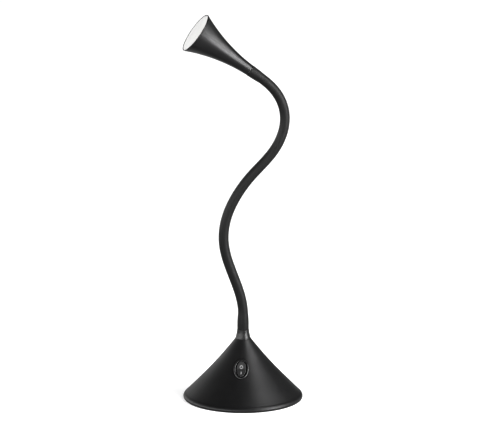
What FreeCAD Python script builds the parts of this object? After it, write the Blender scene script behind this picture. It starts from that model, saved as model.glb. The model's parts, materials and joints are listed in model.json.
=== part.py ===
import FreeCAD, Part
import math
import os
from FreeCAD import Vector as V

os.makedirs("parts", exist_ok=True)

# Gooseneck desk lamp: cone base, bendable neck, trumpet head.
# Origin: centre of the foot pad's underside. +Z up, the switch faces -Y, the head points to -X.
# Millimetres.

# ---------------------------------------------------------------- driving dimensions
BASE_R = 59.6            # widest radius of the bead lip
SHELL_TOP_Z = 61.0       # where the cone ends under the collar
SHELL_TOP_R = 7.7
COLLAR_TOP_Z = 71.0
COLLAR_TOP_R = 5.88
COLLAR_FOOT_R = 7.66
COLLAR_END_Z = 70.0       # the sleeve starts here, a little under the start of the neck's line
# outer profile of the cone, (radius, height), slightly hollow
CONE = [(56.1, 6.3), (54.3, 8.1), (50.5, 12.0), (42.81, 20.0), (35.19, 28.0), (27.96, 36.0),
        (21.08, 44.0), (14.67, 52.0), (9.91, 58.0), (SHELL_TOP_R, SHELL_TOP_Z)]
# bead lip, from the crease down to its lower edge
BEAD = [(56.1, 6.3), (57.4, 5.65), (58.5, 4.75), (59.25, 3.65), (59.6, 2.4), (59.5, 1.2), (59.22, 0.45), (58.95, 0.12)]
WALL_H = 3.0             # wall of the cone measured level (about 2.2 square to it)
PAD_R = 56.0
PAD_T = 1.1
PLATE_R = 57.5
PLATE_T = 1.8
SCREW_RING_R = 50.0      # circle of the three plate screws
BALLAST_R = 40.5
BALLAST_T = 9.0
BOARD_Z = 15.0           # underside of the driver board
POST_X, POST_Y = 18.0, 14.0
CORD_Z = 12.5            # height of the cord inlet at the back
CORD_FACE_Y = 46.0       # flat floor of the pocket round the inlet
CORD_BORE_R = 3.1

# switch, in its own frame: z out of the seat, y up the slope
SW_Z = 36.13             # height of the slope under the middle of the switch
SW_R = 27.85             # radius of the slope there
SW_TILT = 48.53          # the seat's normal leans this far from vertical, towards -Y
SW_SINK = 0.8            # the flat seat lies this far under the slope
BEZEL_A, BEZEL_B, BEZEL_T = 7.5, 11.0, 2.0
WINDOW_A, WINDOW_B = 5.3, 8.8
ROCKER_A, ROCKER_B = 4.65, 8.25
ROCKER_SWING = 14.0      # full swing of the rocker
LEVER_SWING = 12.0
PIVOT_Z = -0.5

# neck: straight end, 24 equal arcs, straight end. Bends in degrees, + to the head's side
NECK_R = 4.85            # outside of the sleeve
END_SLEEVE_R = 5.65
CORE_R = 3.8
CORE_BORE_R = 2.2
SLEEVE_BORE_R = 3.85
NECK_PLANE = 12.75       # the neck stands in an upright plane turned this far about Z
NECK_STRAIGHT_LOW = 14.0
NECK_STRAIGHT_TOP = 13.4
ARC_LEN = 11.25
BENDS = [9.5, 7.3, 3.5, 0.3, -2.0, -5.9, -9.3, -9.9, -9.1, -7.9, -6.4, -5.1,
         -5.0, -4.2, -0.2, 5.2, 9.1, 10.4, 12.5, 14.5, 14.7, 13.4, 11.2, 7.4]
CUP_R = 3.9              # hollow end of a link, round the next one's ball
CUP_OPEN = 48.0          # half angle of the hollow end

# head, in its own frame: z from the seam at the neck to the mouth
HEAD = [(5.5, 0.0), (6.03, 8.0), (6.93, 16.0), (8.2, 24.0), (9.83, 32.0),
        (11.8, 40.0), (13.93, 47.0), (16.27, 54.0), (18.6, 60.0), (20.72, 65.0)]
HEAD_WALL = 1.7
RIM_Z = 65.0
RIM_T = 1.2
RIM_IN_R = 20.0
DIFF_R = 19.2


# ---------------------------------------------------------------- helpers
def save(name, shape):
    shape.exportStep("parts/" + name + ".step")


def lathe(edges):
    """Solid of revolution about Z from edges in the XZ half plane."""
    wire = Part.Wire(Part.__sortEdges__(edges))
    face = Part.Face(wire)
    solid = face.revolve(V(0, 0, 0), V(0, 0, 1), 360)
    if solid.Volume < 0:
        solid.reverse()
    return solid


def line(p, q):
    return Part.makeLine(V(p[0], 0, p[1]), V(q[0], 0, q[1]))


def poly(pts):
    """Edges of a closed polygon of (radius, height) points."""
    return [line(pts[i], pts[(i + 1) % len(pts)]) for i in range(len(pts))]


def turned(pts):
    return lathe(poly(pts))


def arc(p, m, q):
    return Part.Arc(V(p[0], 0, p[1]), V(m[0], 0, m[1]), V(q[0], 0, q[1])).toShape()


def curve(pts):
    c = Part.BSplineCurve()
    c.interpolate([V(r, 0, z) for r, z in pts])
    return c.toShape()


def cyl(r, h, p=(0, 0, 0), d=(0, 0, 1)):
    return Part.makeCylinder(r, h, V(*p), V(*d))


def tube(ro, ri, h, p=(0, 0, 0), d=(0, 0, 1)):
    return cyl(ro, h, p, d).cut(cyl(ri, h, p, d))


def box(x0, y0, z0, x1, y1, z1):
    return Part.makeBox(x1 - x0, y1 - y0, z1 - z0, V(x0, y0, z0))


def oval(a, b, z0, z1):
    """Upright elliptic prism, half widths a along x and b along y."""
    if a >= b:
        e = Part.Ellipse(V(0, 0, z0), a, b).toShape()
        w = Part.Wire([e])
    else:
        e = Part.Ellipse(V(0, 0, z0), b, a).toShape()
        w = Part.Wire([e])
        w.rotate(V(0, 0, z0), V(0, 0, 1), 90)
    return Part.Face(w).extrude(V(0, 0, z1 - z0))


def oval_taper(a0, b0, z0, a1, b1, z1):
    ws = []
    for a, b, z in ((a0, b0, z0), (a1, b1, z1)):
        w = Part.Wire([Part.Ellipse(V(0, 0, z), b, a).toShape()])
        w.rotate(V(0, 0, z), V(0, 0, 1), 90)
        ws.append(w)
    return Part.makeLoft(ws, True, True)


def hexagon(af, h, p, bore):
    r = af / math.sqrt(3)
    pts = [V(p[0] + r * math.cos(math.radians(60 * i)), p[1] + r * math.sin(math.radians(60 * i)), p[2])
           for i in range(7)]
    return Part.Face(Part.makePolygon(pts)).extrude(V(0, 0, h)).cut(cyl(bore, h, p))


def wire_run(pts, r):
    """Insulated wire along straight runs with round elbows."""
    s = None
    for i in range(len(pts) - 1):
        p, q = V(*pts[i]), V(*pts[i + 1])
        c = Part.makeCylinder(r, (q - p).Length, p, q - p)
        s = c if s is None else s.fuse(c)
        if i < len(pts) - 2:
            s = s.fuse(Part.makeSphere(r, q))
    return s


def compound(parts):
    return Part.makeCompound(parts)


# ---------------------------------------------------------------- base
outer_edges = [line(BEAD[-1], (0, BEAD[-1][1])), line((0, BEAD[-1][1]), (0, SHELL_TOP_Z)),
               line((0, SHELL_TOP_Z), (SHELL_TOP_R, SHELL_TOP_Z)), curve(CONE),
               curve(BEAD)]
outer_solid = lathe(outer_edges)

inner = [(54.4, 5.6), (47.7, 12.0), (39.8, 20.0), (32.25, 28.0), (25.0, 36.0), (18.1, 44.0), (10.9, 53.0)]
void = lathe([curve(inner), line((10.9, 53.0), (0, 53.0)), line((0, 53.0), (0, 0.0)),
              line((0, 0.0), (PLATE_R + 0.1, 0.0)), line((PLATE_R + 0.1, 0.0), (PLATE_R + 0.1, 2.9)),
              line((PLATE_R + 0.1, 2.9), (56.2, 2.9)), line((56.2, 2.9), (56.2, 4.2)),
              line((56.2, 4.2), (54.4, 5.6))])
shell = outer_solid.cut(void)

# bosses for the three plate screws, and the wall behind the cord inlet
bosses = []
for a in (30, 150, 270):
    x, y = SCREW_RING_R * math.cos(math.radians(a)), SCREW_RING_R * math.sin(math.radians(a))
    bosses.append(cyl(3.2, 16.0, (x, y, 2.9)))
bosses.append(cyl(8.6, 14.0, (0, 43.0, CORD_Z), (0, 1, 0)))
for b in bosses:
    shell = shell.fuse(b.common(outer_solid))
for a in (30, 150, 270):
    x, y = SCREW_RING_R * math.cos(math.radians(a)), SCREW_RING_R * math.sin(math.radians(a))
    shell = shell.cut(cyl(1.5, 7.2, (x, y, 2.0)))
shell = shell.cut(cyl(7.0, 30.0, (0, CORD_FACE_Y, CORD_Z), (0, 1, 0)))
shell = shell.cut(cyl(4.2, 10.0, (0, 40.0, CORD_Z), (0, 1, 0))).cut(cyl(5.7, 5.0, (0, 38.0, CORD_Z), (0, 1, 0)))
# seat of the collar and hole for the neck's threaded end
shell = shell.cut(cyl(6.0, 5.0, (0, 0, 58.2))).cut(cyl(4.0, 10.0, (0, 0, 50.0)))


# switch frame
def sw_place(shape):
    s = shape.copy()
    s.rotate(V(0, 0, 0), V(1, 0, 0), SW_TILT)
    n = V(0, -math.sin(math.radians(SW_TILT)), math.cos(math.radians(SW_TILT)))
    s.translate(V(0, -SW_R, SW_Z) - n * SW_SINK)
    return s


shell = shell.cut(sw_place(oval(BEZEL_A + 0.15, BEZEL_B + 0.15, 0, 12)))
shell = shell.cut(sw_place(oval(6.75, 10.1, -14, 2)))
save("base_shell", shell)

# flared collar, with a spigot in the top of the cone
collar = lathe([curve([(COLLAR_FOOT_R, 61.0), (7.22, 62.3), (6.76, 64.3), (6.29, 66.35), (6.02, 68.4),
                       (COLLAR_TOP_R, COLLAR_END_Z)]),
                line((COLLAR_TOP_R, COLLAR_END_Z), (4.65, COLLAR_END_Z)), line((4.65, COLLAR_END_Z), (4.65, 58.2)),
                line((4.65, 58.2), (5.95, 58.2)), line((5.95, 58.2), (5.95, 61.0)),
                line((5.95, 61.0), (COLLAR_FOOT_R, 61.0))])
save("neck_collar", collar)

# bottom plate with two posts for the driver board
plate = cyl(PLATE_R, PLATE_T, (0, 0, PAD_T))
posts = [(POST_X, POST_Y), (-POST_X, POST_Y)]
for x, y in posts:
    plate = plate.fuse(cyl(3.0, BOARD_Z - PAD_T, (x, y, PAD_T)))
for x, y in posts:
    plate = plate.cut(cyl(1.0, 7.0, (x, y, 9.0)))
screw_xy = [(SCREW_RING_R * math.cos(math.radians(a)), SCREW_RING_R * math.sin(math.radians(a))) for a in (30, 150, 270)]
for x, y in screw_xy:
    plate = plate.cut(Part.makeCone(3.1, 1.6, 1.5, V(x, y, PAD_T), V(0, 0, 1))).cut(cyl(1.6, 3.0, (x, y, 0.5)))
save("base_plate", plate)

screws = []
for x, y in screw_xy:
    s = Part.makeCone(3.0, 1.5, 1.5, V(x, y, PAD_T + 0.02), V(0, 0, 1)).fuse(cyl(1.48, 6.4, (x, y, PAD_T + 1.5)))
    s = s.cut(box(x - 0.35, y - 1.7, PAD_T - 0.1, x + 0.35, y + 1.7, PAD_T + 0.7))
    s = s.cut(box(x - 1.7, y - 0.35, PAD_T - 0.1, x + 1.7, y + 0.35, PAD_T + 0.7))
    screws.append(s)
save("plate_screws", compound(screws))

pad = cyl(PAD_R, PAD_T)
for x, y in screw_xy:
    pad = pad.cut(cyl(3.8, PAD_T, (x, y, 0)))
save("foot_pad", pad)

b0 = PAD_T + PLATE_T
ballast = cyl(BALLAST_R, BALLAST_T, (0, 0, b0))
for x, y in posts:
    ballast = ballast.cut(cyl(3.4, BALLAST_T, (x, y, b0)))
ballast = ballast.makeChamfer(0.8, [e for e in ballast.Edges if abs(e.Length - 2 * math.pi * BALLAST_R) < 0.1
                                    and e.BoundBox.ZMin > b0 + 1])
save("ballast_weight", ballast)

# threaded end of the neck, its nut and lock washer
ferrule = turned([(1.7, 43.5), (3.75, 43.5), (3.95, 43.9), (3.95, 58.2), (4.6, 58.2), (4.6, 84.0), (3.86, 84.0),
                  (3.86, 72.0), (1.7, 72.0)])
save("lower_ferrule", ferrule)
save("neck_nut", hexagon(13.0, 4.0, (0, 0, 48.2), 3.97))
washer = tube(7.3, 4.1, 0.8, (0, 0, 52.2))
for i in range(8):
    a = math.radians(45 * i)
    c = cyl(0.7, 1.4, (7.6 * math.cos(a), 7.6 * math.sin(a), 52.0))
    washer = washer.cut(c)
save("lock_washer", washer)

# ---------------------------------------------------------------- switch
flange = oval(BEZEL_A, BEZEL_B, 0, BEZEL_T - 0.7)
flange = flange.fuse(oval_taper(BEZEL_A, BEZEL_B, BEZEL_T - 0.7, BEZEL_A - 0.7, BEZEL_B - 0.7, BEZEL_T))
tub = oval(6.6, 9.95, -10, 0)
housing = flange.fuse(tub)
housing = housing.cut(oval(WINDOW_A, WINDOW_B, -8.5, 3))
housing = housing.cut(oval_taper(WINDOW_A, WINDOW_B, 1.0, WINDOW_A + 0.6, WINDOW_B + 0.4, BEZEL_T + 0.01))
housing = housing.cut(cyl(0.95, 11.7, (-5.85, 0, PIVOT_Z), (1, 0, 0)))
# slots for the two blades
housing = housing.cut(box(-2.4, -0.4, -11, 2.4, 0.4, -8)).cut(box(-2.4, 4.4, -11, 2.4, 5.2, -8))
# snap tongues under the flange, on the long sides
for sx in (-1, 1):
    t = box(min(sx * 6.3, sx * 7.0), -2.5, -4.6, max(sx * 6.3, sx * 7.0), 2.5, -3.6)
    housing = housing.fuse(t)
save("switch_housing", sw_place(housing))

blade_mid = box(-2.4, -0.4, -16.5, 2.4, 0.4, -7.6).fuse(box(-1.6, -0.4, -7.6, 1.6, 0.4, -7.15))
blade_out = box(-2.4, 4.4, -16.5, 2.4, 5.2, -7.9).fuse(box(-2.0, 3.0, -8.3, 2.0, 4.4, -7.9))
save("switch_terminals", sw_place(compound([blade_mid, blade_out])))

# rocker, drawn level and then tipped to the side where the lower half is pressed
rk = oval(ROCKER_A, ROCKER_B, -1.0, 4.0)
ht = math.tan(math.radians(ROCKER_SWING / 2))
prof = Part.makePolygon([V(0, 0, 1.6), V(0, 12, 1.6 + 12 * ht), V(0, 12, -3), V(0, -12, -3),
                         V(0, -12, 1.6 + 12 * ht), V(0, 0, 1.6)])
keep = Part.Face(prof).extrude(V(14, 0, 0))
keep.translate(V(-7, 0, 0))
rk = rk.common(keep)
rk = rk.fuse(cyl(0.9, 11.2, (-5.6, 0, PIVOT_Z), (1, 0, 0)))
rk = rk.fuse(cyl(1.7, 2.6, (0, 0, -3.6)))
rk = rk.cut(cyl(1.0, 3.4, (0, 0, -3.6)))
plunger = cyl(0.95, 4.0, (0, 0, -4.7)).fuse(Part.makeSphere(0.95, V(0, 0, -4.7)))
for s in (rk, plunger):
    s.rotate(V(0, 0, PIVOT_Z), V(1, 0, 0), ROCKER_SWING / 2)
save("switch_rocker", sw_place(rk))
save("rocker_plunger", sw_place(plunger))

# contact lever: a shallow vee on the middle blade's edge, tipped the other way
lev = box(-1.5, -4.2, -6.6, 1.5, 4.2, -6.2)
lev = lev.fuse(cyl(0.7, 0.35, (0, 3.6, -6.95)))
lev.rotate(V(0, 0, -6.6), V(1, 0, 0), -LEVER_SWING / 2)
save("contact_lever", sw_place(lev))

# ---------------------------------------------------------------- driver
pcb = box(-23, 4, BOARD_Z, 23, 24, BOARD_Z + 1.6)
for x, y in posts:
    pcb = pcb.cut(cyl(1.2, 3, (x, y, BOARD_Z - 0.5)))
save("driver_board", pcb)
dsc = []
for x, y in posts:
    dsc.append(cyl(0.98, 7.6, (x, y, BOARD_Z - 6.0)).fuse(cyl(2.1, 1.3, (x, y, BOARD_Z + 1.6))))
save("driver_screws", compound(dsc))
pz = BOARD_Z + 1.6
core = box(-14, 8, pz, -1, 20, pz + 3).fuse(box(-14, 8, pz + 9, -1, 20, pz + 12))
core = core.fuse(box(-14, 8, pz, -11.5, 20, pz + 12)).fuse(box(-3.5, 8, pz, -1, 20, pz + 12))
coil = box(-11.3, 6.6, pz + 3.1, -3.7, 21.4, pz + 8.9)
coil = coil.makeFillet(2.0, [e for e in coil.Edges if abs(e.Length - 5.8) < 0.01])
save("driver_transformer", compound([core, coil]))
cap1 = cyl(3.8, 11.0, (5.2, 14, pz))
cap2 = cyl(2.5, 8.0, (12.2, 9.5, pz))
save("driver_capacitors", compound([cap1.makeChamfer(0.4, [cap1.Edges[0]]), cap2]))
tb = box(4, 19, pz, 14, 24, pz + 7)
for x in (6.5, 11.5):
    tb = tb.cut(cyl(1.4, 2.0, (x, 21.5, pz + 5.2))).cut(cyl(1.2, 4.0, (x, 20.5, pz + 2.2), (0, 1, 0)))
save("terminal_block", tb)

# rubber bush at the back, open for the cord
gland = turned([(CORD_BORE_R, -7.2), (3.8, -7.2), (5.2, -5.8), (5.2, -5.3), (4.15, -5.3), (4.15, -2.2), (6.2, -2.2),
                (6.2, -0.8), (5.4, 0.0), (CORD_BORE_R, 0.0)])
gland.rotate(V(0, 0, 0), V(1, 0, 0), -90)
gland.translate(V(0, CORD_FACE_Y + 2.2, CORD_Z))
save("cord_gland", gland)


# wires: from the board to the switch, and from the board up into the neck
def swp(x, y, z):
    a = math.radians(SW_TILT)
    n = V(0, -math.sin(a), math.cos(a))
    u = V(0, math.cos(a), math.sin(a))
    p = V(0, -SW_R, SW_Z) - n * SW_SINK + n * z + u * y + V(x, 0, 0)
    return (p.x, p.y, p.z)


e1 = swp(3.1, 0.0, -15.0)
e2 = swp(-3.1, 4.8, -15.0)
w1 = wire_run([(16.0, 6.0, pz), (16.0, 6.0, 22.0), (9.0, -4.0, 24.0), (e1[0], e1[1] + 4.0, e1[2] - 3.0), e1], 0.7)
w2 = wire_run([(-18.0, 7.0, pz), (-18.0, 7.0, 22.0), (-9.0, -3.0, 27.0), (e2[0], e2[1] + 3.5, e2[2] - 2.5), e2], 0.7)
save("switch_leads", compound([w1, w2]))
n1 = wire_run([(1.6, 6.0, pz), (1.6, 6.0, 26.0), (0.75, 0.0, 38.0), (0.75, 0.0, 83.0)], 0.6)
n2 = wire_run([(-0.2, 6.0, pz), (-0.2, 6.0, 26.0), (-0.75, 0.0, 38.0), (-0.75, 0.0, 83.0)], 0.6)
save("neck_lead", compound([n1, n2]))

# ---------------------------------------------------------------- neck
ph = math.radians(NECK_PLANE)
ET = V(math.cos(ph), math.sin(ph), 0)      # level direction of the neck's plane
EN = V(-math.sin(ph), math.cos(ph), 0)     # square to that plane
EZ = V(0, 0, 1)


def at(t, z):
    return ET * t + EZ * z


def tangent(a):
    return ET * (-math.sin(a)) + EZ * math.cos(a)


def side(a):
    return ET * math.cos(a) + EZ * math.sin(a)


# stations: start of the neck, then the end of each piece of the path
path = [(0.0, COLLAR_TOP_Z, 0.0)]


def advance(length, bend):
    t, z, a = path[-1]
    b = math.radians(bend)
    if abs(b) < 1e-9:
        path.append((t - math.sin(a) * length, z + math.cos(a) * length, a))
        return
    ch = 2 * length / b * math.sin(b / 2)
    m = a + b / 2
    path.append((t - math.sin(m) * ch, z + math.cos(m) * ch, a + b))


advance(NECK_STRAIGHT_LOW, 0)
for b in BENDS:
    advance(ARC_LEN, b)
advance(NECK_STRAIGHT_TOP, 0)


def bent_rod(i, r):
    """Round rod along arc number i (0..23) of the path."""
    t, z, a = path[1 + i]
    b = BENDS[i]
    p = at(t, z)
    d = tangent(a)
    disc = Part.Face(Part.Wire([Part.Circle(p, d, r).toShape()]))
    rad = ARC_LEN / math.radians(b)
    centre = p - side(a) * rad
    s = disc.revolve(centre, EN * -1.0, b)
    if s.Volume < 0:
        s.reverse()
    return s


def ball_end(p, d, r):
    """Half ball on the end of a rod, bulging along d."""
    return Part.makeSphere(r, p, d, 0, 90, 360)


def cup_cut(p, d):
    """Space that the neighbour's ball and its swing need at the lower end of a link."""
    k = math.tan(math.radians(CUP_OPEN))
    rx, rz = CUP_R * math.sin(math.radians(CUP_OPEN)), CUP_R * math.cos(math.radians(CUP_OPEN))
    mx, mz = CUP_R * math.sin(math.radians(CUP_OPEN / 2)), CUP_R * math.cos(math.radians(CUP_OPEN / 2))
    s = lathe([line((0, -1.0), (7, -1.0)), line((7, -1.0), (7, 7 / k)), line((7, 7 / k), (rx, rz)),
               arc((rx, rz), (mx, mz), (0, CUP_R)), line((0, CUP_R), (0, -1.0))])
    s.Placement = FreeCAD.Placement(p, FreeCAD.Rotation(V(0, 0, 1), d))
    return s


def station(i):
    t, z, a = path[i]
    return at(t, z), tangent(a), a


N_LINKS = 11
# end of the core held by the lower ferrule: rod up to joint 1
p0, d0, a0 = station(0)
rod = cyl(CORE_R, NECK_STRAIGHT_LOW - 1.1, (0, 0, COLLAR_TOP_Z + 1.1)).fuse(bent_rod(0, CORE_R))
pj, dj, aj = station(2)
rod = rod.fuse(ball_end(pj, dj, CORE_R))
bore = cyl(CORE_BORE_R, NECK_STRAIGHT_LOW, (0, 0, COLLAR_TOP_Z)).fuse(bent_rod(0, CORE_BORE_R))
bore = bore.fuse(Part.makeCylinder(CORE_BORE_R, 6, pj, dj))
save("neck_core_lower", rod.cut(bore))
# sleeve there, thick over the ferrule
sl = turned([(4.66, COLLAR_END_Z + 0.02), (END_SLEEVE_R, COLLAR_END_Z + 0.02), (END_SLEEVE_R, COLLAR_TOP_Z + 6.5),
             (5.5, COLLAR_TOP_Z + 9.5), (5.33, COLLAR_TOP_Z + 12.3), (5.0, COLLAR_TOP_Z + 13.6),
             (NECK_R, COLLAR_TOP_Z + NECK_STRAIGHT_LOW), (SLEEVE_BORE_R, COLLAR_TOP_Z + NECK_STRAIGHT_LOW),
             (SLEEVE_BORE_R, COLLAR_TOP_Z + 13.1), (4.66, COLLAR_TOP_Z + 13.1)])
sl = sl.fuse(bent_rod(0, NECK_R).cut(bent_rod(0, SLEEVE_BORE_R)))
save("neck_sleeve_lower", sl)

for k in range(1, N_LINKS + 1):
    i = 2 * k - 1                      # arcs i and i+1 lie between joints k and k+1
    plo, dlo, alo = station(i + 1)
    phi, dhi, ahi = station(i + 3)
    rod = bent_rod(i, CORE_R).fuse(bent_rod(i + 1, CORE_R)).fuse(ball_end(phi, dhi, CORE_R))
    bore = bent_rod(i, CORE_BORE_R).fuse(bent_rod(i + 1, CORE_BORE_R)).fuse(Part.makeCylinder(CORE_BORE_R, 6, phi, dhi))
    link = rod.cut(bore).cut(cup_cut(plo, dlo))
    save("neck_core_%02d" % k, link)
    sleeve = bent_rod(i, NECK_R).fuse(bent_rod(i + 1, NECK_R))
    sleeve = sleeve.cut(bent_rod(i, SLEEVE_BORE_R).fuse(bent_rod(i + 1, SLEEVE_BORE_R)))
    save("neck_sleeve_%02d" % k, sleeve)

# last piece of the core and sleeve, held by the head's ferrule
plo, dlo, alo = station(24)
pe, de, ae = station(25)
seam, hd, ah = station(26)
rod = bent_rod(23, CORE_R).fuse(Part.makeCylinder(CORE_R, NECK_STRAIGHT_TOP - 1.6, pe, de))
bore = bent_rod(23, CORE_BORE_R).fuse(Part.makeCylinder(CORE_BORE_R, NECK_STRAIGHT_TOP, pe, de))
save("neck_core_upper", rod.cut(bore).cut(cup_cut(plo, dlo)))


# ---------------------------------------------------------------- head
def head_place(shape):
    s = shape.copy()
    s.Placement = FreeCAD.Placement(seam, FreeCAD.Rotation(EN, EN.cross(hd), hd, "ZXY")).multiply(s.Placement)
    return s


su = turned([(4.66, -0.35), (5.5, -0.35), (5.58, -0.9), (5.56, -1.4), (5.35, -5.4), (5.2, -9.4), (5.14, -11.5),
             (4.95, -12.7), (NECK_R, -NECK_STRAIGHT_TOP),
             (SLEEVE_BORE_R, -NECK_STRAIGHT_TOP), (SLEEVE_BORE_R, -12.6), (4.66, -12.6)])
su = head_place(su).fuse(bent_rod(23, NECK_R).cut(bent_rod(23, SLEEVE_BORE_R)))
save("neck_sleeve_upper", su)

inner_h = [(r - HEAD_WALL * (1.0 + 0.02 * i), z) for i, (r, z) in enumerate(HEAD)]
inner_pts = [p for p in inner_h if p[1] >= 16.0]
top_in = (18.6, 64.0)
inner_pts = [(5.02, 14.0)] + inner_pts[:-1] + [top_in]
hs = lathe([curve(HEAD), line(HEAD[-1], (DIFF_R + 0.05, RIM_Z)), line((DIFF_R + 0.05, RIM_Z), (DIFF_R + 0.05, 64.0)),
            line((DIFF_R + 0.05, 64.0), top_in), curve(inner_pts), line(inner_pts[0], (3.0, 14.0)),
            line((3.0, 14.0), (3.0, 0.0)), line((3.0, 0.0), HEAD[0])])
save("head_shell", head_place(hs))

uf = turned([(1.4, -1.5), (3.86, -1.5), (3.86, -12.4), (4.6, -12.4), (4.6, 0.0), (2.95, 0.0), (2.95, 17.6), (2.75, 18.0),
             (1.4, 18.0)])
save("upper_ferrule", head_place(uf))
save("ferrule_nut", head_place(hexagon(8.0, 3.0, (0, 0, 14.0), 2.97)))

# heat sink with ring fins; two screws hold the board on it
hk = cyl(6.4, 10.5, (0, 0, 34.0)).fuse(cyl(10.9, 2.0, (0, 0, 44.5)))
for z, r in ((41.6, 9.9), (38.8, 9.2), (36.0, 8.5)):
    hk = hk.fuse(cyl(r, 1.0, (0, 0, z)))
hk = hk.cut(box(-1.2, 6.4, 33, 1.2, 12, 47))
for sx in (-1, 1):
    hk = hk.cut(cyl(0.98, 4.6, (sx * 7.4, 0, 42.2)))
save("heat_sink", head_place(hk))
lb = cyl(10.6, 1.2, (0, 0, 46.5)).cut(box(-1.2, 8.4, 46, 1.2, 12, 48))
for sx in (-1, 1):
    lb = lb.cut(cyl(1.1, 3, (sx * 7.4, 0, 46)))
save("led_board", head_place(lb))
bs = []
for sx in (-1, 1):
    bs.append(cyl(0.96, 4.6, (sx * 7.4, 0, 43.1)).fuse(cyl(1.8, 1.2, (sx * 7.4, 0, 47.7))))
save("board_screws", head_place(compound(bs)))
le = box(-1.75, -1.75, 47.7, 1.75, 1.75, 48.5).fuse(Part.makeSphere(1.5, V(0, 0, 48.5), V(0, 0, 1), 0, 90, 360))
save("led_emitter", head_place(le))
rf = turned([(3.2, 48.3), (3.2, 49.1), (17.0, 63.3), (17.8, 64.0), (18.5, 64.0), (17.5, 63.0), (4.0, 49.0), (4.0, 48.3)])
save("reflector", head_place(rf))
# opal front: a plug in the shell's mouth with a flange on its face, inside the ring
df = turned([(0.0, 64.0), (DIFF_R, 64.0), (DIFF_R, RIM_Z), (RIM_IN_R - 0.05, RIM_Z), (RIM_IN_R - 0.05, 65.75),
             (RIM_IN_R - 0.3, 66.0), (0.0, 66.0)])
save("diffuser", head_place(df))
tr = lathe([line((RIM_IN_R, RIM_Z), (20.72, RIM_Z)), curve([(20.72, RIM_Z), (20.98, 65.45), (20.9, 65.9), (20.5, 66.2)]),
            line((20.5, 66.2), (20.25, 66.2)), line((20.25, 66.2), (RIM_IN_R, 66.0)), line((RIM_IN_R, 66.0), (RIM_IN_R, RIM_Z))])
save("trim_ring", head_place(tr))
hl = []
for sx in (-0.7, 0.7):
    hl.append(wire_run([(sx, 0, -1.0), (sx, 0, 22.0), (sx * 0.9, 7.4, 32.0), (sx * 0.9, 9.3, 44.0), (sx * 0.9, 9.3, 48.2)], 0.45))
save("head_lead", head_place(compound(hl)))

total = (COLLAR_TOP_Z, seam.z, (seam + hd * 66).x, (seam + hd * 66).z)
print("collar top, seam height, mouth centre x and z:", [round(v, 2) for v in total])
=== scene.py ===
import bpy
import bmesh
import json
import math
import numpy as np
from mathutils import Matrix, Vector


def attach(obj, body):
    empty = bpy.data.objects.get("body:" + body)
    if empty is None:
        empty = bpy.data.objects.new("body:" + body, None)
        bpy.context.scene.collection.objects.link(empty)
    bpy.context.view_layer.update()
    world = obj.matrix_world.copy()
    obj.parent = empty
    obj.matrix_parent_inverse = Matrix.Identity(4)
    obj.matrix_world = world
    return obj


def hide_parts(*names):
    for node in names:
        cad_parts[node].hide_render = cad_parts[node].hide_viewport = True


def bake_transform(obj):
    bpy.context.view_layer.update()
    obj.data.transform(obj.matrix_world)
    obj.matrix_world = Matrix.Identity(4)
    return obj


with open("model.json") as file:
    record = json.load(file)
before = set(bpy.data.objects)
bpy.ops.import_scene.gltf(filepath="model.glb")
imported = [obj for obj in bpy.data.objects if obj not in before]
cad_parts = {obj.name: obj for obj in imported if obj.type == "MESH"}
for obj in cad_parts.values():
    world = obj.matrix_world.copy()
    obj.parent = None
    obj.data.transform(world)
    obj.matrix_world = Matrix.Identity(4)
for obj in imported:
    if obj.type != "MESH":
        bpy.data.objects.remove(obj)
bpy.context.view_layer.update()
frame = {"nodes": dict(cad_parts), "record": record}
MM = 0.001

# =====================================================================
# geometry shared with the construction: neck path, head and switch axes
# =====================================================================
NECK_PLANE = math.radians(12.75)
ET = np.array([math.cos(NECK_PLANE), math.sin(NECK_PLANE), 0.0])
EN = np.array([-math.sin(NECK_PLANE), math.cos(NECK_PLANE), 0.0])
EZ = np.array([0.0, 0.0, 1.0])
BENDS = [9.5, 7.3, 3.5, 0.3, -2.0, -5.9, -9.3, -9.9, -9.1, -7.9, -6.4, -5.1,
         -5.0, -4.2, -0.2, 5.2, 9.1, 10.4, 12.5, 14.5, 14.7, 13.4, 11.2, 7.4]
S_LOW, S_TOP, ARC = 14.0, 13.4, 11.25
NECK_Z0 = 71.0
S_END = S_LOW + ARC * len(BENDS) + S_TOP


def build_stations():
    st = [(0.0, 0.0, NECK_Z0, 0.0, 0.0)]      # s, t, z, heading, curvature after
    pieces = [(S_LOW, 0.0)] + [(ARC, math.radians(b)) for b in BENDS] + [(S_TOP, 0.0)]
    out = []
    s, t, z, a = 0.0, 0.0, NECK_Z0, 0.0
    for ln, b in pieces:
        out.append((s, t, z, a, b / ln, ln))
        if abs(b) < 1e-9:
            t -= math.sin(a) * ln
            z += math.cos(a) * ln
        else:
            ch = 2 * ln / b * math.sin(b / 2)
            t -= math.sin(a + b / 2) * ch
            z += math.cos(a + b / 2) * ch
            a += b
        s += ln
    out.append((s, t, z, a, 0.0, 1.0))
    return out


STN = build_stations()


def neck_at(s):
    """Centre point (mm) and heading of the neck at length s along it."""
    i = 0
    while i < len(STN) - 2 and s > STN[i + 1][0]:
        i += 1
    s0, t, z, a, k, ln = STN[i]
    d = s - s0
    b = k * d
    if abs(b) < 1e-9:
        t, z = t - math.sin(a) * d, z + math.cos(a) * d
    else:
        ch = 2 / k * math.sin(b / 2)
        t, z, a = t - math.sin(a + b / 2) * ch, z + math.cos(a + b / 2) * ch, a + b
    return ET * t + EZ * z, a


SEAM, HEAD_A = neck_at(S_END)
HD = ET * (-math.sin(HEAD_A)) + EZ * math.cos(HEAD_A)
HY = np.cross(HD, EN)
HEAD_M = Matrix(((EN[0], HY[0], HD[0], SEAM[0] * MM), (EN[1], HY[1], HD[1], SEAM[1] * MM),
                 (EN[2], HY[2], HD[2], SEAM[2] * MM), (0, 0, 0, 1)))

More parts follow.
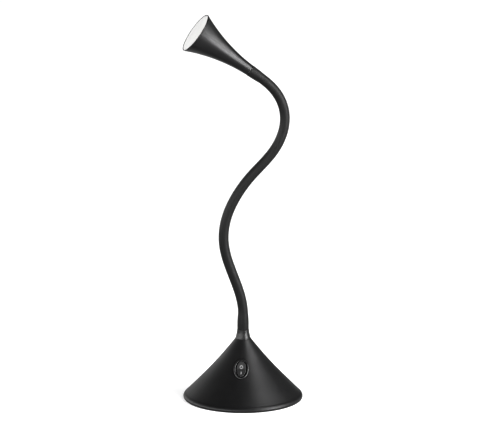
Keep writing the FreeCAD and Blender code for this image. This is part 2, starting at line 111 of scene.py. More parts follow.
SW_TILT = math.radians(48.53)
SW_N = np.array([0.0, -math.sin(SW_TILT), math.cos(SW_TILT)])
SW_P = np.array([0.0, -27.85, 36.13]) - SW_N * 0.8
SW_M = Matrix.Translation(Vector(SW_P * MM)) @ Matrix.Rotation(SW_TILT, 4, "X")
ROCKER_REST = math.radians(7.0)
PIVOT_Z = -0.5
ROCKER_M = SW_M @ Matrix.Translation((0, 0, PIVOT_Z * MM)) @ Matrix.Rotation(ROCKER_REST, 4, "X") @ Matrix.Translation((0, 0, -PIVOT_Z * MM))


# =====================================================================
# mesh helpers
# =====================================================================
def fillet(pts, steps=5):
    """Points (r, z, radius): corners with a radius become arcs. Returns (r, z) points, open at both ends."""
    out = []
    n = len(pts)
    for i, p in enumerate(pts):
        rad = p[2] if len(p) > 2 else 0
        if rad <= 0 or i in (0, n - 1):
            out.append((p[0], p[1]))
            continue
        a, b, c = np.array(pts[i - 1][:2]), np.array(p[:2]), np.array(pts[i + 1][:2])
        u, v = (a - b) / np.linalg.norm(a - b), (c - b) / np.linalg.norm(c - b)
        ang = math.acos(max(-1, min(1, float(u @ v))))
        t = min(rad / math.tan(ang / 2), 0.49 * np.linalg.norm(a - b), 0.49 * np.linalg.norm(c - b))
        r = t * math.tan(ang / 2)
        p0, p1 = b + u * t, b + v * t
        bis = (u + v) / np.linalg.norm(u + v)
        cen = b + bis * (r / math.sin(ang / 2))
        a0 = math.atan2(*(p0 - cen)[::-1])
        a1 = math.atan2(*(p1 - cen)[::-1])
        da = (a1 - a0 + math.pi) % (2 * math.pi) - math.pi
        for j in range(steps + 1):
            w = a0 + da * j / steps
            out.append((cen[0] + r * math.cos(w), cen[1] + r * math.sin(w)))
    return out


def spline(pts, step=1.0):
    """Smooth curve through (r, z) points, natural cubic on the chord length."""
    p = np.array(pts, float)
    d = np.concatenate([[0], np.cumsum(np.linalg.norm(np.diff(p, axis=0), axis=1))])
    n = len(p)
    h = np.diff(d)
    A = np.zeros((n, n))
    A[0, 0] = A[-1, -1] = 1
    for i in range(1, n - 1):
        A[i, i - 1], A[i, i], A[i, i + 1] = h[i - 1], 2 * (h[i - 1] + h[i]), h[i]
    rhs = np.zeros((n, 2))
    rhs[1:-1] = 6 * ((p[2:] - p[1:-1]) / h[1:, None] - (p[1:-1] - p[:-2]) / h[:-1, None])
    m = np.linalg.solve(A, rhs)
    out = []
    for q in np.linspace(0, d[-1], max(2, int(d[-1] / step) + 1)):
        i = min(max(int(np.searchsorted(d, q)) - 1, 0), n - 2)
        a, b = d[i + 1] - q, q - d[i]
        v = (m[i] * a ** 3 + m[i + 1] * b ** 3) / (6 * h[i]) + (p[i] / h[i] - m[i] * h[i] / 6) * a + (p[i + 1] / h[i] - m[i + 1] * h[i] / 6) * b
        out.append((float(v[0]), float(v[1])))
    return out


def finish_mesh(name, verts, faces, body, mat, matrix=None, sharp=28.0, flip=False, ride=True):
    me = bpy.data.meshes.new(name)
    me.from_pydata([tuple(v) for v in verts], [], faces)
    bm = bmesh.new()
    bm.from_mesh(me)
    bmesh.ops.remove_doubles(bm, verts=bm.verts, dist=2e-7)
    bmesh.ops.dissolve_degenerate(bm, dist=1e-7, edges=bm.edges)
    bmesh.ops.recalc_face_normals(bm, faces=bm.faces)
    if matrix is not None:
        bm.transform(matrix)
    for f in bm.faces:
        f.smooth = True
    lim = math.radians(sharp)
    for e in bm.edges:
        if len(e.link_faces) == 2 and e.calc_face_angle(0) > lim:
            e.smooth = False
    bm.to_mesh(me)
    bm.free()
    me.update()
    ob = bpy.data.objects.new(name, me)
    bpy.context.scene.collection.objects.link(ob)
    me.materials.append(mat)
    if ride:
        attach(ob, body)
    return ob


def lathe_data(profile, seg=96, closed=True):
    """Vertices and faces of a surface turned about z from (r, z) in mm."""
    verts, rings = [], []
    for r, z in profile:
        if r < 1e-6:
            rings.append([len(verts)])
            verts.append((0, 0, z * MM))
        else:
            ring = []
            for j in range(seg):
                w = 2 * math.pi * j / seg
                ring.append(len(verts))
                verts.append((r * MM * math.cos(w), r * MM * math.sin(w), z * MM))
            rings.append(ring)
    faces = []
    n = len(rings)
    for i in range(n if closed else n - 1):
        a, b = rings[i], rings[(i + 1) % n]
        if len(a) == 1 and len(b) == 1:
            continue
        for j in range(seg):
            k = (j + 1) % seg
            if len(a) == 1:
                faces.append((a[0], b[k], b[j]))
            elif len(b) == 1:
                faces.append((a[j], a[k], b[0]))
            else:
                faces.append((a[j], a[k], b[k], b[j]))
    return verts, faces


def lathe(name, profile, body, mat, seg=96, matrix=None, sharp=28.0, closed=True):
    v, f = lathe_data(profile, seg, closed)
    return finish_mesh(name, v, f, body, mat, matrix, sharp)


def oval_lathe_data(profile, seg=96):
    """Like lathe, but each ring is an oval: profile of (a, b, z) half widths in mm."""
    verts, rings, faces = [], [], []
    for a, b, z in profile:
        if a < 1e-6:
            rings.append([len(verts)])
            verts.append((0, 0, z * MM))
            continue
        ring = []
        for j in range(seg):
            w = 2 * math.pi * j / seg
            ring.append(len(verts))
            verts.append((a * MM * math.cos(w), b * MM * math.sin(w), z * MM))
        rings.append(ring)
    n = len(rings)
    for i in range(n):
        a, b = rings[i], rings[(i + 1) % n]
        if len(a) == 1 and len(b) == 1:
            continue
        for j in range(seg):
            k = (j + 1) % seg
            if len(a) == 1:
                faces.append((a[0], b[k], b[j]))
            elif len(b) == 1:
                faces.append((a[j], a[k], b[0]))
            else:
                faces.append((a[j], a[k], b[k], b[j]))
    return verts, faces


# =====================================================================
# materials
# =====================================================================
def nt_new(name):
    m = bpy.data.materials.new(name)
    m.use_nodes = True
    nt = m.node_tree
    nt.nodes.clear()
    out = nt.nodes.new("ShaderNodeOutputMaterial")
    b = nt.nodes.new("ShaderNodeBsdfPrincipled")
    nt.links.new(b.outputs["BSDF"], out.inputs["Surface"])
    return m, nt, b


def noise(nt, scale, detail=4.0, rough=0.55, vec=None, stretch=None):
    tc = nt.nodes.new("ShaderNodeTexCoord")
    src = tc.outputs["Object"]
    if stretch:
        mp = nt.nodes.new("ShaderNodeMapping")
        mp.inputs["Scale"].default_value = stretch
        nt.links.new(src, mp.inputs["Vector"])
        src = mp.outputs["Vector"]
    n = nt.nodes.new("ShaderNodeTexNoise")
    n.inputs["Scale"].default_value = scale
    n.inputs["Detail"].default_value = detail
    n.inputs["Roughness"].default_value = rough
    nt.links.new(src, n.inputs["Vector"])
    return n.outputs["Fac"]


def ramp(nt, fac, c0, c1, p0=0.3, p1=0.7):
    r = nt.nodes.new("ShaderNodeValToRGB")
    r.color_ramp.elements[0].position = p0
    r.color_ramp.elements[0].color = (*c0, 1)
    r.color_ramp.elements[1].position = p1
    r.color_ramp.elements[1].color = (*c1, 1)
    nt.links.new(fac, r.inputs["Fac"])
    return r.outputs["Color"]


def span(nt, fac, lo, hi, p0=0.3, p1=0.7):
    m = nt.nodes.new("ShaderNodeMapRange")
    m.inputs["From Min"].default_value = p0
    m.inputs["From Max"].default_value = p1
    m.inputs["To Min"].default_value = lo
    m.inputs["To Max"].default_value = hi
    nt.links.new(fac, m.inputs["Value"])
    return m.outputs["Result"]


def bump(nt, b, height, strength, dist, prev=None):
    bp = nt.nodes.new("ShaderNodeBump")
    bp.inputs["Strength"].default_value = strength
    bp.inputs["Distance"].default_value = dist
    nt.links.new(height, bp.inputs["Height"])
    if prev is not None:
        nt.links.new(prev, bp.inputs["Normal"])
    nt.links.new(bp.outputs["Normal"], b.inputs["Normal"])
    return bp.outputs["Normal"]


def plastic(name, c0, c1, r0, r1, grain=3200, grain_h=0.00002, strength=0.25, spec=0.5, coat=0.0, coat_r=0.1,
            metal=0.0, wave=None, sheen=0.0, patch=60, emis=None, emis_s=0.0, ior=1.5):
    m, nt, b = nt_new(name)
    nt.links.new(ramp(nt, noise(nt, patch, 5, 0.6), c0, c1), b.inputs["Base Color"])
    nt.links.new(span(nt, noise(nt, patch * 2.3, 6, 0.65), r0, r1), b.inputs["Roughness"])
    b.inputs["Metallic"].default_value = metal
    b.inputs["IOR"].default_value = ior
    b.inputs["Specular IOR Level"].default_value = spec
    if coat:
        b.inputs["Coat Weight"].default_value = coat
        b.inputs["Coat Roughness"].default_value = coat_r
    if sheen:
        b.inputs["Sheen Weight"].default_value = sheen
        b.inputs["Sheen Roughness"].default_value = 0.5
    if emis:
        b.inputs["Emission Color"].default_value = (*emis, 1)
        b.inputs["Emission Strength"].default_value = emis_s
    p = bump(nt, b, noise(nt, grain, 3, 0.6), strength, grain_h)
    if wave:
        bump(nt, b, noise(nt, wave[0], 2, 0.5), wave[1], wave[2], p)
    return m


M = {}
M["base_black"] = plastic("base_black", (0.0064, 0.0064, 0.0066), (0.0080, 0.0080, 0.0082), 0.38, 0.44, 2600, 0.00003, 0.22, patch=45, spec=0.24)
M["collar_gloss"] = plastic("collar_gloss", (0.0056, 0.0056, 0.0058), (0.0074, 0.0074, 0.0076), 0.30, 0.36, 2600, 0.00001, 0.12, spec=0.235)
M["plate_black"] = plastic("plate_black", (0.02, 0.02, 0.02), (0.03, 0.03, 0.03), 0.5, 0.62, 1800, 0.00004, 0.3)
M["pad_rubber"] = plastic("pad_rubber", (0.02, 0.02, 0.02), (0.032, 0.032, 0.031), 0.7, 0.85, 1500, 0.00006, 0.4, sheen=0.2)
M["ballast_steel"] = plastic("ballast_steel", (0.30, 0.29, 0.28), (0.40, 0.39, 0.38), 0.35, 0.5, 900, 0.00004, 0.3, metal=1.0)
M["zinc_steel"] = plastic("zinc_steel", (0.50, 0.50, 0.49), (0.66, 0.66, 0.64), 0.25, 0.4, 1500, 0.00002, 0.2, metal=1.0)
M["ferrule_steel"] = plastic("ferrule_steel", (0.40, 0.40, 0.40), (0.5, 0.5, 0.5), 0.25, 0.35, 1500, 0.00002, 0.2, metal=1.0)
M["switch_black"] = plastic("switch_black", (0.006, 0.006, 0.0062), (0.008, 0.008, 0.0082), 0.26, 0.33, 3000, 0.00001, 0.2, spec=0.5)
M["rocker_black"] = plastic("rocker_black", (0.014, 0.014, 0.0142), (0.018, 0.018, 0.0182), 0.32, 0.38, 3000, 0.00001, 0.2, spec=0.45)
M["mark_grey"] = plastic("mark_grey", (0.105, 0.105, 0.105), (0.125, 0.125, 0.125), 0.5, 0.6, 4000, 0.00001, 0.2, patch=900)
M["plunger_white"] = plastic("plunger_white", (0.7, 0.7, 0.68), (0.8, 0.8, 0.78), 0.4, 0.5)
M["contact_brass"] = plastic("contact_brass", (0.65, 0.5, 0.24), (0.78, 0.62, 0.32), 0.25, 0.4, metal=1.0)
M["board_green"] = plastic("board_green", (0.02, 0.12, 0.05), (0.035, 0.17, 0.07), 0.3, 0.4)
M["transformer_dark"] = plastic("transformer_dark", (0.05, 0.045, 0.04), (0.10, 0.085, 0.05), 0.5, 0.65)
M["capacitor_sleeve"] = plastic("capacitor_sleeve", (0.03, 0.04, 0.09), (0.045, 0.055, 0.12), 0.3, 0.4)
M["terminal_green"] = plastic("terminal_green", (0.06, 0.30, 0.10), (0.09, 0.38, 0.14), 0.4, 0.5)
M["wire_white"] = plastic("wire_white", (0.6, 0.6, 0.58), (0.72, 0.72, 0.7), 0.4, 0.5)
M["coil_steel"] = plastic("coil_steel", (0.36, 0.36, 0.36), (0.46, 0.46, 0.46), 0.3, 0.42, metal=1.0)
M["neck_rubber"] = plastic("neck_rubber", (0.0080, 0.0080, 0.0081), (0.0098, 0.0098, 0.0097), 0.48, 0.56, 2400, 0.00003, 0.30, patch=90, spec=0.15)
M["head_black"] = plastic("head_black", (0.0056, 0.0056, 0.0058), (0.0072, 0.0072, 0.0074), 0.33, 0.39, 2600, 0.00001, 0.18, patch=60, spec=0.27)
M["rim_black"] = plastic("rim_black", (0.006, 0.006, 0.0062), (0.008, 0.008, 0.008), 0.25, 0.32, 2600, 0.00001, 0.15, spec=0.3)
M["opal_white"] = plastic("opal_white", (0.215, 0.215, 0.213), (0.235, 0.235, 0.233), 0.40, 0.5, 3000, 0.00001, 0.1, spec=0.1, emis=(1.0, 0.995, 0.985), emis_s=0.10)
M["reflector_white"] = plastic("reflector_white", (0.8, 0.8, 0.79), (0.88, 0.88, 0.87), 0.3, 0.4)
M["led_yellow"] = plastic("led_yellow", (0.8, 0.62, 0.15), (0.85, 0.7, 0.2), 0.2, 0.3)
M["led_board_white"] = plastic("led_board_white", (0.75, 0.75, 0.73), (0.83, 0.83, 0.81), 0.3, 0.4)
M["sink_aluminium"] = plastic("sink_aluminium", (0.6, 0.6, 0.61), (0.74, 0.74, 0.75), 0.3, 0.42, metal=1.0)

slot_of = {s["node"]: s["material_slot"] for s in frame["record"]["subparts"]}
for node, ob in frame["nodes"].items():
    m = M[slot_of[node]]
    if not ob.material_slots:
        ob.data.materials.append(m)
    for sl in ob.material_slots:
        sl.material = m

# =====================================================================
# base: cone with a bead lip
# =====================================================================
CONE = [(57.0, 5.4), (54.3, 8.1), (50.5, 12.0), (42.81, 20.0), (35.19, 28.0), (27.96, 36.0),
        (21.08, 44.0), (14.67, 52.0), (9.91, 58.0), (7.7, 61.0)]
# full bead, from its lower edge up to the crease
BEAD = [(58.95, 0.12), (59.22, 0.45), (59.5, 1.2), (59.52, 2.2), (59.12, 3.25), (58.4, 4.2), (57.75, 4.8), (57.0, 5.4)]
lip = spline(BEAD, 0.35)
cone_pts = spline(CONE, 0.9)
inner = [(54.4, 5.6), (47.7, 12.0), (39.8, 20.0), (32.25, 28.0), (25.0, 36.0), (18.1, 44.0), (10.9, 53.0)]
inner_pts = spline(inner, 2.5)[::-1]
base_profile = ([(57.6, 0.12), (58.7, 0.12)] + lip + cone_pts[1:-1] + [(7.75, 60.93), (7.6, 61.0)]
                + [(6.0, 61.0), (6.0, 58.2), (4.0, 58.2), (4.0, 53.0)] + inner_pts
                + [(56.2, 4.2), (56.2, 2.9), (57.6, 2.9)])
bv, bf = lathe_data(base_profile, 240)
base = finish_mesh("base_cone", bv, bf, "root", M["base_black"], None, 40.0)


def cut(ob, verts, faces):
    """Cuts a closed tool out of ob."""
    me = bpy.data.meshes.new("tool")
    me.from_pydata([tuple(v) for v in verts], [], faces)
    bm = bmesh.new()
    bm.from_mesh(me)
    bmesh.ops.recalc_face_normals(bm, faces=bm.faces)
    bm.to_mesh(me)
    bm.free()
    t = bpy.data.objects.new("tool", me)
    bpy.context.scene.collection.objects.link(t)
    md = ob.modifiers.new("cut", "BOOLEAN")
    md.operation = "DIFFERENCE"
    md.solver = "EXACT"
    md.object = t
    bpy.context.view_layer.update()
    dg = bpy.context.evaluated_depsgraph_get()
    new = bpy.data.meshes.new_from_object(ob.evaluated_get(dg))
    ob.modifiers.remove(md)
    ob.data = new
    bpy.data.objects.remove(t)
    return ob


def placed(verts, m):
    return [tuple(m @ Vector(v)) for v in verts]


# pocket for the switch: a flat seat, and the hole for its body
pv, pf = oval_lathe_data([(0, 0, 12), (7.65, 11.15, 12), (7.65, 11.15, 0), (0, 0, 0)], 96)
cut(base, placed(pv, SW_M), pf)
pv, pf = oval_lathe_data([(0, 0, 2), (6.75, 10.1, 2), (6.75, 10.1, -14), (0, 0, -14)], 96)
cut(base, placed(pv, SW_M), pf)
# pocket and hole for the cord inlet
CORD_M = Matrix.Translation((0, 0.046, 0.0125)) @ Matrix.Rotation(-math.pi / 2, 4, "X")
pv, pf = lathe_data([(0, 0), (7.0, 0), (7.0, 30), (0, 30)], 64, closed=False)
cut(base, placed(pv, CORD_M), pf)
pv, pf = lathe_data([(0, -8), (4.2, -8), (4.2, 1), (0, 1)], 64, closed=False)
cut(base, placed(pv, CORD_M), pf)
bm = bmesh.new()
bm.from_mesh(base.data)
for f in bm.faces:
    f.smooth = True
for e in bm.edges:
    e.smooth = not (len(e.link_faces) == 2 and e.calc_face_angle(0) > math.radians(32))
bm.to_mesh(base.data)
bm.free()
if not base.data.materials:
    base.data.materials.append(M["base_black"])
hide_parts("base_shell")

# flared collar
col = spline([(7.66, 61.0), (7.22, 62.3), (6.76, 64.3), (6.29, 66.35), (6.02, 68.4), (5.88, 69.85)], 0.4)
col = [(7.55, 60.99), (7.66, 61.04)] + [p for p in col if 61.1 < p[1] < 69.8] + [(5.87, 69.85), (5.82, 69.95), (5.7, 70.0), (4.65, 70.0), (4.65, 58.3), (5.95, 58.3), (5.95, 60.99)]
collar = lathe("collar_flare", col, "root", M["collar_gloss"], 120, sharp=35)
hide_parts("neck_collar")

# =====================================================================
# neck: one smooth skin in spans, each laid along the bent neck path
# =====================================================================
R_LOW = [(-0.98, 5.42), (-0.86, 5.55), (-0.63, 5.63), (-0.4, 5.65), (6.0, 5.64), (7.5, 5.58), (9.5, 5.49), (11.5, 5.39), (12.6, 5.31),
         (13.4, 5.22), (14.2, 5.10), (15.2, 4.99), (16.5, 4.95), (19.0, 4.88), (23.0, 4.87)]
R_TOP = [(0.0, 5.38), (0.12, 5.52), (0.35, 5.61), (0.7, 5.65), (2.0, 5.61), (4.0, 5.51), (6.0, 5.42), (8.0, 5.33), (10.0, 5.25),
         (11.2, 5.13), (12.2, 5.02), (13.2, 4.95), (14.4, 4.86), (16.0, 4.81), (19.0, 4.79)]


def along(table, x):
    return float(np.interp(x, [p[0] for p in table], [p[1] for p in table]))


def skin_r(s):
    """Outer radius of the sleeve along the neck, mm: thicker and tapered over the ferrule at each end."""
    if s < 23.0:
        return along(R_LOW, s)
    q = S_END - 0.35 - s
    if q < 19.0:
        return along(R_TOP, q)
    return 4.87 - 0.08 * min(1.0, max(0.0, (s - 170.0) / 50.0))


def span_mesh(name, s0, s1, extra=()):
    rows = sorted(set([round(x, 4) for x in np.linspace(s0, s1, int((s1 - s0) / 0.7) + 1)]
                      + [s0, s0 + 0.15, s1 - 0.15, s1] + [e for e in extra if s0 < e < s1]))
    seg = 48
    verts, faces, rings = [], [], []
    prof = [(s, skin_r(s)) for s in rows] + [(s, 3.95 if 13.2 < s < S_END - 13 else 4.66) for s in rows[::-1]]
    for s, r in prof:
        c, a = neck_at(s)
        u = ET * math.cos(a) + EZ * math.sin(a)
        ring = []
        for j in range(seg):
            w = 2 * math.pi * j / seg
            ring.append(len(verts))
            verts.append(tuple((c + (EN * math.cos(w) + u * math.sin(w)) * r) * MM))
        rings.append(ring)
    n = len(rings)
    for i in range(n):
        a, b = rings[i], rings[(i + 1) % n]
        for j in range(seg):
            k = (j + 1) % seg
            faces.append((a[j], a[k], b[k], b[j]))
    return finish_mesh(name, verts, faces, None, M["neck_rubber"], None, 60.0, ride=False)


NJ = 12
for k in range(NJ):
    s0 = -0.98 if k == 0 else S_LOW + 2 * ARC * k
    s1 = S_END - 0.35 if k == NJ - 1 else S_LOW + 2 * ARC * (k + 1)
    ex = [-0.92, -0.86, -0.78, -0.65, -0.5] if k == 0 else []
    if k == NJ - 1:
        e0 = S_END - 0.35
        ex = [e0 - x for x in (0.06, 0.12, 0.22, 0.35, 0.5)]
    ob = span_mesh("neck_skin_%02d" % (k + 1), s0, s1, ex)
    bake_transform(ob)
    names = ["neck_sleeve_%02d" % (k + 1)] if k < NJ - 1 else ["neck_sleeve_upper"]
    if k == 0:
        names.append("neck_sleeve_lower")
    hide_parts(*names)

# =====================================================================
# head: trumpet, rim ring, opal front
# =====================================================================
HEAD = [(5.5, 0.0), (6.03, 8.0), (6.93, 16.0), (8.2, 24.0), (9.83, 32.0),
        (11.8, 40.0), (13.93, 47.0), (16.27, 54.0), (18.6, 60.0), (20.72, 65.0)]
hp = spline(HEAD, 0.8)
hin = [(5.02, 14.0)] + [(r - 1.7 * (1.0 + 0.02 * i), z) for i, (r, z) in enumerate(HEAD) if 16 <= z < 65] + [(18.6, 64.0)]
hin = spline(hin, 2.0)[::-1]
head_profile = [(5.30, 0.0), (5.42, 0.06), (5.5, 0.2)] + [p for p in hp if 0.5 < p[1] < 64.7] + [
    (20.66, 64.85), (20.62, 64.95), (20.5, 65.0), (19.25, 65.0), (19.25, 64.0)] + hin + [(3.0, 14.0), (3.0, 0.0)]
head = lathe("head_trumpet", head_profile, "head", M["head_black"], 144, HEAD_M, 35)
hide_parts("head_shell")
rim = [(20.2, 65.02), (20.45, 65.02), (20.72, 65.08), (20.87, 65.3), (20.93, 65.55), (20.9, 65.85), (20.8, 66.05), (20.68, 66.16),
       (20.52, 66.2), (20.38, 66.17), (20.28, 66.08), (20.22, 65.98), (20.2, 65.8)]
trim = lathe("head_rim", rim, "head", M["rim_black"], 144, HEAD_M, 50)
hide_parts("trim_ring")
dome = [(0.0, 66.25)] + [(r, 65.95 + 0.3 * (1 - (r / 19.9) ** 2)) for r in np.linspace(1.2, 19.9, 18)] + [
    (20.05, 65.9), (20.13, 65.8), (20.15, 65.6), (20.15, 65.03), (19.2, 65.02), (19.2, 64.05), (19.0, 64.02), (0.0, 64.02)]
dif = lathe("head_diffuser", dome, "head", M["opal_white"], 144, HEAD_M, 40, closed=False)
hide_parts("diffuser")

# =====================================================================
# switch: oval bezel, rocker with its two marks
# =====================================================================
bz = []
for da, z in [(0.0, 0.02), (0.0, 1.25), (-0.05, 1.45), (-0.16, 1.64), (-0.34, 1.80), (-0.55, 1.92), (-0.80, 1.98), (-1.05, 2.0),
              (-1.30, 1.97), (-1.50, 1.88), (-1.66, 1.72), (-1.85, 1.45), (-2.08, 1.15), (-2.16, 1.05), (-2.2, 0.95)]:
    bz.append((7.5 + da, 11.0 + da, z))
bz += [(5.3, 8.8, 0.7), (5.3, 8.8, -8.5), (0, 0, -8.5), (0, 0, -10.0), (6.6, 9.95, -10.0), (6.6, 9.95, 0.02)]
v, f = oval_lathe_data(bz, 120)
bezel = finish_mesh("switch_bezel", v, f, "root", M["switch_black"], SW_M, 40)
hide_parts("switch_housing")

TT7 = math.tan(math.radians(7.0))


def rocker_top(x, y):
    """Height of the rocker's face, mm, before it is tipped: two slopes meeting in a soft valley."""
    return 1.6 + TT7 * (math.sqrt(y * y + 0.35) - 0.59 * 0.6) + 0.012 * x * x * 0.0


def rocker_mesh():
    seg, verts, faces, rings = 120, [], [], []
    for q in [0.0, 0.08, 0.16, 0.24, 0.32, 0.4, 0.48, 0.56, 0.64, 0.72, 0.79, 0.85, 0.90, 0.935]:
        ring = []
        if q == 0.0:
            rings.append([0])
            verts.append((0, 0, rocker_top(0, 0) * MM))
            continue
        for j in range(seg):
            w = 2 * math.pi * j / seg
            x, y = 4.65 * q * math.cos(w), 8.25 * q * math.sin(w)
            ring.append(len(verts))
            verts.append((x * MM, y * MM, rocker_top(x, y) * MM))
        rings.append(ring)
    for ins, drop in [(0.19, 0.03), (0.11, 0.09), (0.05, 0.18), (0.01, 0.30), (0.0, 0.42)]:
        ring = []
        for j in range(seg):
            w = 2 * math.pi * j / seg
            x, y = (4.65 - ins) * math.cos(w), (8.25 - ins) * math.sin(w)
            ring.append(len(verts))
            verts.append((x * MM, y * MM, (rocker_top(x, y) - drop) * MM))
        rings.append(ring)
    for a, b, z in [(4.65, 8.25, 0.4), (4.65, 8.25, -1.0)]:
        ring = []
        for j in range(seg):
            w = 2 * math.pi * j / seg
            ring.append(len(verts))
            verts.append((a * math.cos(w) * MM, b * math.sin(w) * MM, z * MM))
        rings.append(ring)
    rings.append([len(verts)])
    verts.append((0, 0, -1.0 * MM))
    for i in range(len(rings) - 1):
        a, b = rings[i], rings[i + 1]
        for j in range(seg):
            k = (j + 1) % seg
            if len(a) == 1:
                faces.append((a[0], b[k], b[j]))
            elif len(b) == 1:
                faces.append((a[j], a[k], b[0]))
            else:
                faces.append((a[j], a[k], b[k], b[j]))
    return verts, faces


v, f = rocker_mesh()
rocker = finish_mesh("rocker_cap", v, f, "rocker", M["rocker_black"], ROCKER_M, 40)
pv, pf = lathe_data([(0, -5.6), (0.8, -5.6), (0.9, -5.5), (0.9, 5.5), (0.8, 5.6), (0, 5.6)], 32, closed=False)
pins = finish_mesh("rocker_pins", pv, pf, "rocker", M["rocker_black"],
                   SW_M @ Matrix.Translation((0, 0, PIVOT_Z * MM)) @ Matrix.Rotation(math.pi / 2, 4, "Y"), 40)
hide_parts("switch_rocker")


def mark_strip(name, outline_pairs, closed, lift=0.05):
    """Inlaid mark: a strip between two outlines on the rocker's face, with short sides."""
    verts, faces = [], []
    n = len(outline_pairs)
    for (x0, y0), (x1, y1) in outline_pairs:
        for x, y, h in ((x0, y0, -0.08), (x0, y0, lift), (x1, y1, lift), (x1, y1, -0.08)):
            verts.append((x * MM, y * MM, (rocker_top(x, y) + h) * MM))
    for i in range(n if closed else n - 1):
        j = (i + 1) % n
        for k in range(4):
            m2 = (k + 1) % 4
            faces.append((4 * i + k, 4 * j + k, 4 * j + m2, 4 * i + m2))
    if not closed:
        faces.append((0, 1, 2, 3))
        faces.append((4 * n - 1, 4 * n - 2, 4 * n - 3, 4 * n - 4))
    return finish_mesh(name, verts, faces, "rocker", M["mark_grey"], ROCKER_M, 40)


oc, ro, ri = (0.0, 2.2), 1.75, 0.98
pairs = []
for j in range(48):
    w = 2 * math.pi * j / 48
    pairs.append(((oc[0] + ro * math.cos(w), oc[1] + ro * 1.08 * math.sin(w)), (oc[0] + ri * math.cos(w), oc[1] + ri * 1.08 * math.sin(w))))
mark_o = mark_strip("mark_o", pairs, True)
pairs = []
for y in np.linspace(-2.4, -5.6, 9):
    e = min(abs(y + 2.4), abs(y + 5.6))
    hw = 0.45 - 0.2 * max(0, 1 - e / 0.25) ** 2
    pairs.append(((-hw, y), (hw, y)))
mark_i = mark_strip("mark_i", pairs, False)

# cord inlet bush
gp = fillet([(3.1, -4.9), (3.8, -5.0), (5.2, -3.6), (5.2, -3.1), (4.15, -3.1), (4.15, 0.0), (6.2, 0.0), (6.2, 1.5, 0.6), (5.3, 2.2, 0.5), (3.5, 2.2, 0.35), (3.1, 1.7)], 5)
bush = lathe("cord_bush", gp, "root", M["pad_rubber"], 64, CORD_M, 35)
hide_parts("cord_gland")

# =====================================================================
# stage, light, camera
# =====================================================================
def floor_material():
    m, nt, b = nt_new("floor")
    nt.links.new(ramp(nt, noise(nt, 3.0, 3, 0.5), (0.31, 0.31, 0.31), (0.33, 0.33, 0.33)), b.inputs["Base Color"])
    b.inputs["Roughness"].default_value = 0.9
    b.inputs["Specular IOR Level"].default_value = 0.1
    tc = nt.nodes.new("ShaderNodeTexCoord")
    ln = nt.nodes.new("ShaderNodeVectorMath")
    ln.operation = "LENGTH"
    nt.links.new(tc.outputs["Object"], ln.inputs[0])
    b.inputs["Emission Color"].default_value = (1, 1, 1, 1)
    nt.links.new(span(nt, ln.outputs["Value"], 0.52, 0.70, 0.7, 1.3), b.inputs["Emission Strength"])
    return m


fm = bpy.data.meshes.new("floor")
fm.from_pydata([(-6, -6, 0), (6, -6, 0), (6, 6, 0), (-6, 6, 0)], [], [(0, 1, 2, 3)])
floor = bpy.data.objects.new("floor", fm)
bpy.context.scene.collection.objects.link(floor)
fm.materials.append(floor_material())

w = bpy.data.worlds.new("studio")
bpy.context.scene.world = w
w.use_nodes = True
wt = w.node_tree
bg = wt.nodes["Background"]
bg.inputs["Color"].default_value = (1.0, 1.0, 1.0, 1)


def calc(op, *args):
    n = wt.nodes.new("ShaderNodeMath")
    n.operation = op
    for i, a in enumerate(args):
        if isinstance(a, (int, float)):
            n.inputs[i].default_value = a
        else:
            wt.links.new(a, n.inputs[i])
    return n.outputs["Value"]


# soft bright walls around the studio: (bearing, height, width, depth, brightness), 0 is in front of the object, 90 its right
WALLS = [(-30, 5, 32, 14, 15.5), (-90, 5, 32, 14, 9.3), (90, 5, 32, 14, 2.4)]
tcw = wt.nodes.new("ShaderNodeTexCoord")
sep = wt.nodes.new("ShaderNodeSeparateXYZ")
wt.links.new(tcw.outputs["Generated"], sep.inputs[0])
w_az = calc("MULTIPLY", calc("ARCTAN2", sep.outputs["X"], calc("MULTIPLY", sep.outputs["Y"], -1.0)), 180 / math.pi)
w_el = calc("MULTIPLY", calc("ARCSINE", sep.outputs["Z"]), 180 / math.pi)
total = None
for a0, e0, sa, se, k in WALLS:
    da = calc("DIVIDE", calc("WRAP", calc("SUBTRACT", w_az, float(a0)), 180.0, -180.0), float(sa))
    de = calc("DIVIDE", calc("SUBTRACT", w_el, float(e0)), float(se))
    q = calc("MULTIPLY", calc("ADD", calc("MULTIPLY", da, da), calc("MULTIPLY", de, de)), -0.5)
    v = calc("MULTIPLY", calc("EXPONENT", q), float(k))
    total = v if total is None else calc("ADD", total, v)
wt.links.new(calc("ADD", total, 0.02), bg.inputs["Strength"])


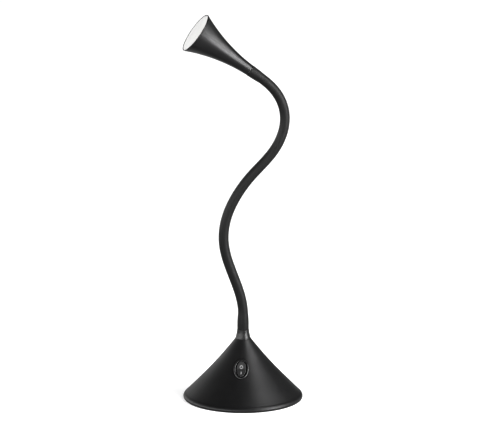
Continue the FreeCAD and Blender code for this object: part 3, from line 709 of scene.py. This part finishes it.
def area(name, loc, target, sx, sy, power, color=(1, 1, 1)):
    ld = bpy.data.lights.new(name, "AREA")
    ld.shape = "RECTANGLE"
    ld.size, ld.size_y = sx, sy
    ld.energy = power
    ld.color = color
    ob = bpy.data.objects.new(name, ld)
    bpy.context.scene.collection.objects.link(ob)
    ob.location = loc
    d = Vector(target) - Vector(loc)
    ob.rotation_mode = "QUATERNION"
    ob.rotation_quaternion = d.to_track_quat("-Z", "Y")
    ob.visible_camera = False
    return ob


# a bank of soft boxes to the right, from table height to overhead: (bearing, height, power)
MID = Vector((0, 0, 0.22))
BANK = [(65, -4, 16.1), (50, -4, 9.1), (50, 10, 12.0), (80, 10, 8.4), (65, 24, 16.2), (80, 24, 3.4), (95, 24, 3.6),
        (80, 38, 6.8), (95, 38, 1.4), (65, 52, 7.8), (50, 52, 3.7)]
for a0, e0, pw in BANK:
    a1, e1 = math.radians(a0), math.radians(e0)
    dv_ = Vector((math.sin(a1) * math.cos(e1), -math.cos(a1) * math.cos(e1), math.sin(e1)))
    area("box_%d_%d" % (a0, e0), MID + dv_ * 1.3, MID, 0.36, 0.36, pw)

# camera at the photograph's viewing angle: far off, long lens
D, F = 4.0, 4000.0
AZ = math.radians(3.5)
dv = (396.8 - 217.0) / F
el = math.radians(15.95) - math.atan(dv)
back = Vector((math.sin(AZ) * math.cos(el), -math.cos(AZ) * math.cos(el), math.sin(el)))
right = Vector((math.cos(AZ), math.sin(AZ), 0))
up = back.cross(right)
xc, yc = (243.02 - 241.0) / F * D, -dv * D
cd = bpy.data.cameras.new("camera")
cam = bpy.data.objects.new("camera", cd)
bpy.context.scene.collection.objects.link(cam)
cam.location = back * D - right * xc - up * yc
cam.rotation_mode = "QUATERNION"
cam.rotation_quaternion = Matrix((right, up, back)).transposed().to_quaternion()
cd.sensor_width = 36.0
cd.lens = 36.0 * F / 482.0
cd.clip_start, cd.clip_end = 0.1, 50
bpy.context.scene.camera = cam
bpy.context.scene.view_settings.view_transform = "Standard"
bpy.context.scene.view_settings.gamma = 0.65
